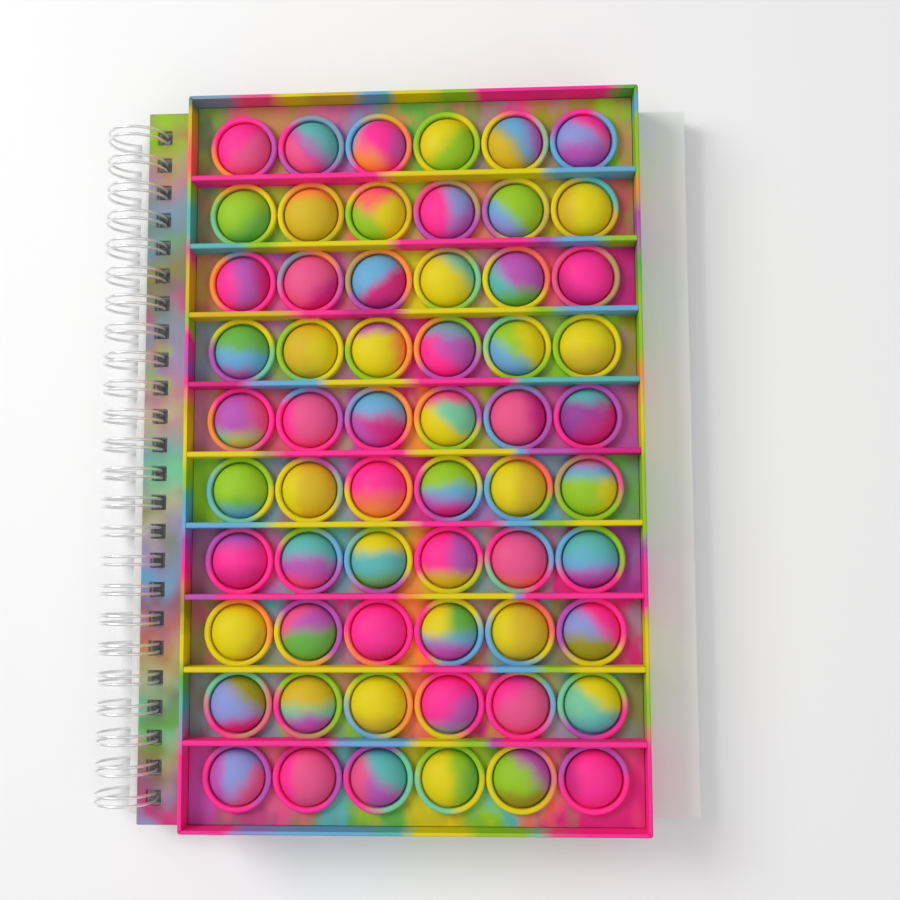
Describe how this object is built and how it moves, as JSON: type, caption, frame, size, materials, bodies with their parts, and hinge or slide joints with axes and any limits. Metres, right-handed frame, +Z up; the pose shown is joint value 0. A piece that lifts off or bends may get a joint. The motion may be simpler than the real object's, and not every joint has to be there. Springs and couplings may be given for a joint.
{
  "type": "bubble popper notebook",
  "caption": "Twin-loop wire notebook whose front cover is a marbled silicone tray of push-through bubbles in ribbed rows, each in a round collar, with paper leaves and a card back.",
  "frame": {"origin": "middle of the notebook's footprint, on the plane of the lowest point of the wire loops", "axes": "+X from the wire spine to the fore edge, +Y from the foot of the page to its head, +Z up out of the bubble tray"},
  "size_m": [0.1733, 0.21, 0.0254],
  "materials": {
    "tray_silicone": "satin moulded silicone, marbled pink, yellow, lime, teal, blue and mauve",
    "white_wire": "glossy white coated steel wire",
    "back_board": "smooth white card",
    "leaf_paper": "uncoated white paper",
    "bubble_blue": "matte moulded silicone, blue with neighbouring colours run in",
    "bubble_golden": "matte moulded silicone, golden with neighbouring colours run in",
    "bubble_lime": "matte moulded silicone, lime with neighbouring colours run in",
    "bubble_mauve": "matte moulded silicone, mauve with neighbouring colours run in",
    "bubble_pink": "matte moulded silicone, pink with neighbouring colours run in",
    "bubble_rose": "matte moulded silicone, rose with neighbouring colours run in",
    "bubble_teal": "matte moulded silicone, teal with neighbouring colours run in",
    "bubble_yellow": "matte moulded silicone, yellow with neighbouring colours run in"
  },
  "bodies": {
    "base": {"wire_binding": "white_wire", "back_cover": "back_board", "back_leaves": "leaf_paper"},
    "middle_leaves": {"middle_leaves": "leaf_paper"},
    "front_leaves": {"front_leaves": "leaf_paper"},
    "cover": {"popper_cover": "tray_silicone"},
    "bubble_1_1": {"bubble_1_1": "bubble_pink"},
    "bubble_1_2": {"bubble_1_2": "bubble_mauve"},
    "bubble_1_3": {"bubble_1_3": "bubble_pink"},
    "bubble_1_4": {"bubble_1_4": "bubble_yellow"},
    "bubble_1_5": {"bubble_1_5": "bubble_golden"},
    "bubble_1_6": {"bubble_1_6": "bubble_blue"},
    "bubble_2_1": {"bubble_2_1": "bubble_lime"},
    "bubble_2_2": {"bubble_2_2": "bubble_golden"},
    "bubble_2_3": {"bubble_2_3": "bubble_yellow"},
    "bubble_2_4": {"bubble_2_4": "bubble_pink"},
    "bubble_2_5": {"bubble_2_5": "bubble_lime"},
    "bubble_2_6": {"bubble_2_6": "bubble_yellow"},
    "bubble_3_1": {"bubble_3_1": "bubble_mauve"},
    "bubble_3_2": {"bubble_3_2": "bubble_rose"},
    "bubble_3_3": {"bubble_3_3": "bubble_blue"},
    "bubble_3_4": {"bubble_3_4": "bubble_yellow"},
    "bubble_3_5_6": {"bubble_3_5_6": "bubble_mauve"},
    "bubble_4_1": {"bubble_4_1": "bubble_lime"},
    "bubble_4_2": {"bubble_4_2": "bubble_golden"},
    "bubble_4_3": {"bubble_4_3": "bubble_yellow"},
    "bubble_4_4": {"bubble_4_4": "bubble_mauve"},
    "bubble_4_5_6": {"bubble_4_5_6": "bubble_lime"},
    "bubble_5_1": {"bubble_5_1": "bubble_mauve"},
    "bubble_5_2": {"bubble_5_2": "bubble_rose"},
    "bubble_5_3": {"bubble_5_3": "bubble_blue"},
    "bubble_5_4": {"bubble_5_4": "bubble_yellow"},
    "bubble_5_5_6": {"bubble_5_5_6": "bubble_rose"},
    "bubble_6_1": {"bubble_6_1": "bubble_lime"},
    "bubble_6_2": {"bubble_6_2": "bubble_golden"},
    "bubble_6_3": {"bubble_6_3": "bubble_pink"},
    "bubble_6_4": {"bubble_6_4": "bubble_lime"},
    "bubble_6_5_6": {"bubble_6_5_6": "bubble_golden"},
    "bubble_7_1": {"bubble_7_1": "bubble_pink"},
    "bubble_7_2": {"bubble_7_2": "bubble_teal"},
    "bubble_7_3": {"bubble_7_3": "bubble_yellow"},
    "bubble_7_4": {"bubble_7_4": "bubble_pink"},
    "bubble_7_5_6": {"bubble_7_5_6": "bubble_rose"},
    "bubble_8_1": {"bubble_8_1": "bubble_yellow"},
    "bubble_8_2": {"bubble_8_2": "bubble_mauve"},
    "bubble_8_3": {"bubble_8_3": "bubble_pink"},
    "bubble_8_4": {"bubble_8_4": "bubble_lime"},
    "bubble_8_5_6": {"bubble_8_5_6": "bubble_golden"},
    "bubble_9_1": {"bubble_9_1": "bubble_blue"},
    "bubble_9_2": {"bubble_9_2": "bubble_golden"},
    "bubble_9_3": {"bubble_9_3": "bubble_yellow"},
    "bubble_9_4": {"bubble_9_4": "bubble_pink"},
    "bubble_9_5": {"bubble_9_5": "bubble_rose"},
    "bubble_9_6": {"bubble_9_6": "bubble_teal"},
    "bubble_10_1": {"bubble_10_1": "bubble_blue"},
    "bubble_10_2": {"bubble_10_2": "bubble_rose"},
    "bubble_10_3": {"bubble_10_3": "bubble_mauve"},
    "bubble_10_4": {"bubble_10_4": "bubble_yellow"},
    "bubble_10_5": {"bubble_10_5": "bubble_lime"},
    "bubble_10_6": {"bubble_10_6": "bubble_pink"}
  },
  "joints": [
    {"name": "cover_turn", "type": "hinge", "parent": "base", "child": "cover", "pos_m": [-0.07767, 0, 0.009], "axis": [0, -1, 0], "range_deg": [0, 160]},
    {"name": "front_leaves_turn", "type": "hinge", "parent": "base", "child": "front_leaves", "pos_m": [-0.07767, 0, 0.009], "axis": [0, -1, 0], "range_deg": [0, 157]},
    {"name": "middle_leaves_turn", "type": "hinge", "parent": "base", "child": "middle_leaves", "pos_m": [-0.07767, 0, 0.009], "axis": [0, -1, 0], "range_deg": [0, 154]},
    {"name": "bubble_1_1_press", "type": "slide", "parent": "cover", "child": "bubble_1_1", "axis": [0, 0, 1], "range_m": [-0.011, 0]},
    {"name": "bubble_1_2_press", "type": "slide", "parent": "cover", "child": "bubble_1_2", "axis": [0, 0, 1], "range_m": [-0.011, 0]},
    {"name": "bubble_1_3_press", "type": "slide", "parent": "cover", "child": "bubble_1_3", "axis": [0, 0, 1], "range_m": [-0.011, 0]},
    {"name": "bubble_1_4_press", "type": "slide", "parent": "cover", "child": "bubble_1_4", "axis": [0, 0, 1], "range_m": [-0.011, 0]},
    {"name": "bubble_1_5_press", "type": "slide", "parent": "cover", "child": "bubble_1_5", "axis": [0, 0, 1], "range_m": [-0.011, 0]},
    {"name": "bubble_1_6_press", "type": "slide", "parent": "cover", "child": "bubble_1_6", "axis": [0, 0, 1], "range_m": [-0.011, 0]},
    {"name": "bubble_2_1_press", "type": "slide", "parent": "cover", "child": "bubble_2_1", "axis": [0, 0, 1], "range_m": [-0.011, 0]},
    {"name": "bubble_2_2_press", "type": "slide", "parent": "cover", "child": "bubble_2_2", "axis": [0, 0, 1], "range_m": [-0.011, 0]},
    {"name": "bubble_2_3_press", "type": "slide", "parent": "cover", "child": "bubble_2_3", "axis": [0, 0, 1], "range_m": [-0.011, 0]},
    {"name": "bubble_2_4_press", "type": "slide", "parent": "cover", "child": "bubble_2_4", "axis": [0, 0, 1], "range_m": [-0.011, 0]},
    {"name": "bubble_2_5_press", "type": "slide", "parent": "cover", "child": "bubble_2_5", "axis": [0, 0, 1], "range_m": [-0.011, 0]},
    {"name": "bubble_2_6_press", "type": "slide", "parent": "cover", "child": "bubble_2_6", "axis": [0, 0, 1], "range_m": [-0.011, 0]},
    {"name": "bubble_3_1_press", "type": "slide", "parent": "cover", "child": "bubble_3_1", "axis": [0, 0, 1], "range_m": [-0.011, 0]},
    {"name": "bubble_3_2_press", "type": "slide", "parent": "cover", "child": "bubble_3_2", "axis": [0, 0, 1], "range_m": [-0.011, 0]},
    {"name": "bubble_3_3_press", "type": "slide", "parent": "cover", "child": "bubble_3_3", "axis": [0, 0, 1], "range_m": [-0.011, 0]},
    {"name": "bubble_3_4_press", "type": "slide", "parent": "cover", "child": "bubble_3_4", "axis": [0, 0, 1], "range_m": [-0.011, 0]},
    {"name": "bubble_3_5_6_press", "type": "slide", "parent": "cover", "child": "bubble_3_5_6", "axis": [0, 0, 1], "range_m": [-0.011, 0]},
    {"name": "bubble_4_1_press", "type": "slide", "parent": "cover", "child": "bubble_4_1", "axis": [0, 0, 1], "range_m": [-0.011, 0]},
    {"name": "bubble_4_2_press", "type": "slide", "parent": "cover", "child": "bubble_4_2", "axis": [0, 0, 1], "range_m": [-0.011, 0]},
    {"name": "bubble_4_3_press", "type": "slide", "parent": "cover", "child": "bubble_4_3", "axis": [0, 0, 1], "range_m": [-0.011, 0]},
    {"name": "bubble_4_4_press", "type": "slide", "parent": "cover", "child": "bubble_4_4", "axis": [0, 0, 1], "range_m": [-0.011, 0]},
    {"name": "bubble_4_5_6_press", "type": "slide", "parent": "cover", "child": "bubble_4_5_6", "axis": [0, 0, 1], "range_m": [-0.011, 0]},
    {"name": "bubble_5_1_press", "type": "slide", "parent": "cover", "child": "bubble_5_1", "axis": [0, 0, 1], "range_m": [-0.011, 0]},
    {"name": "bubble_5_2_press", "type": "slide", "parent": "cover", "child": "bubble_5_2", "axis": [0, 0, 1], "range_m": [-0.011, 0]},
    {"name": "bubble_5_3_press", "type": "slide", "parent": "cover", "child": "bubble_5_3", "axis": [0, 0, 1], "range_m": [-0.011, 0]},
    {"name": "bubble_5_4_press", "type": "slide", "parent": "cover", "child": "bubble_5_4", "axis": [0, 0, 1], "range_m": [-0.011, 0]},
    {"name": "bubble_5_5_6_press", "type": "slide", "parent": "cover", "child": "bubble_5_5_6", "axis": [0, 0, 1], "range_m": [-0.011, 0]},
    {"name": "bubble_6_1_press", "type": "slide", "parent": "cover", "child": "bubble_6_1", "axis": [0, 0, 1], "range_m": [-0.011, 0]},
    {"name": "bubble_6_2_press", "type": "slide", "parent": "cover", "child": "bubble_6_2", "axis": [0, 0, 1], "range_m": [-0.011, 0]},
    {"name": "bubble_6_3_press", "type": "slide", "parent": "cover", "child": "bubble_6_3", "axis": [0, 0, 1], "range_m": [-0.011, 0]},
    {"name": "bubble_6_4_press", "type": "slide", "parent": "cover", "child": "bubble_6_4", "axis": [0, 0, 1], "range_m": [-0.011, 0]},
    {"name": "bubble_6_5_6_press", "type": "slide", "parent": "cover", "child": "bubble_6_5_6", "axis": [0, 0, 1], "range_m": [-0.011, 0]},
    {"name": "bubble_7_1_press", "type": "slide", "parent": "cover", "child": "bubble_7_1", "axis": [0, 0, 1], "range_m": [-0.011, 0]},
    {"name": "bubble_7_2_press", "type": "slide", "parent": "cover", "child": "bubble_7_2", "axis": [0, 0, 1], "range_m": [-0.011, 0]},
    {"name": "bubble_7_3_press", "type": "slide", "parent": "cover", "child": "bubble_7_3", "axis": [0, 0, 1], "range_m": [-0.011, 0]},
    {"name": "bubble_7_4_press", "type": "slide", "parent": "cover", "child": "bubble_7_4", "axis": [0, 0, 1], "range_m": [-0.011, 0]},
    {"name": "bubble_7_5_6_press", "type": "slide", "parent": "cover", "child": "bubble_7_5_6", "axis": [0, 0, 1], "range_m": [-0.011, 0]},
    {"name": "bubble_8_1_press", "type": "slide", "parent": "cover", "child": "bubble_8_1", "axis": [0, 0, 1], "range_m": [-0.011, 0]},
    {"name": "bubble_8_2_press", "type": "slide", "parent": "cover", "child": "bubble_8_2", "axis": [0, 0, 1], "range_m": [-0.011, 0]},
    {"name": "bubble_8_3_press", "type": "slide", "parent": "cover", "child": "bubble_8_3", "axis": [0, 0, 1], "range_m": [-0.011, 0]},
    {"name": "bubble_8_4_press", "type": "slide", "parent": "cover", "child": "bubble_8_4", "axis": [0, 0, 1], "range_m": [-0.011, 0]},
    {"name": "bubble_8_5_6_press", "type": "slide", "parent": "cover", "child": "bubble_8_5_6", "axis": [0, 0, 1], "range_m": [-0.011, 0]},
    {"name": "bubble_9_1_press", "type": "slide", "parent": "cover", "child": "bubble_9_1", "axis": [0, 0, 1], "range_m": [-0.011, 0]},
    {"name": "bubble_9_2_press", "type": "slide", "parent": "cover", "child": "bubble_9_2", "axis": [0, 0, 1], "range_m": [-0.011, 0]},
    {"name": "bubble_9_3_press", "type": "slide", "parent": "cover", "child": "bubble_9_3", "axis": [0, 0, 1], "range_m": [-0.011, 0]},
    {"name": "bubble_9_4_press", "type": "slide", "parent": "cover", "child": "bubble_9_4", "axis": [0, 0, 1], "range_m": [-0.011, 0]},
    {"name": "bubble_9_5_press", "type": "slide", "parent": "cover", "child": "bubble_9_5", "axis": [0, 0, 1], "range_m": [-0.011, 0]},
    {"name": "bubble_9_6_press", "type": "slide", "parent": "cover", "child": "bubble_9_6", "axis": [0, 0, 1], "range_m": [-0.011, 0]},
    {"name": "bubble_10_1_press", "type": "slide", "parent": "cover", "child": "bubble_10_1", "axis": [0, 0, 1], "range_m": [-0.011, 0]},
    {"name": "bubble_10_2_press", "type": "slide", "parent": "cover", "child": "bubble_10_2", "axis": [0, 0, 1], "range_m": [-0.011, 0]},
    {"name": "bubble_10_3_press", "type": "slide", "parent": "cover", "child": "bubble_10_3", "axis": [0, 0, 1], "range_m": [-0.011, 0]},
    {"name": "bubble_10_4_press", "type": "slide", "parent": "cover", "child": "bubble_10_4", "axis": [0, 0, 1], "range_m": [-0.011, 0]},
    {"name": "bubble_10_5_press", "type": "slide", "parent": "cover", "child": "bubble_10_5", "axis": [0, 0, 1], "range_m": [-0.011, 0]},
    {"name": "bubble_10_6_press", "type": "slide", "parent": "cover", "child": "bubble_10_6", "axis": [0, 0, 1], "range_m": [-0.011, 0]}
  ],
  "couplings": [
    {"joint": "front_leaves_turn", "follows": "cover_turn", "ratio": 0.98},
    {"joint": "middle_leaves_turn", "follows": "cover_turn", "ratio": 0.96}
  ]
}
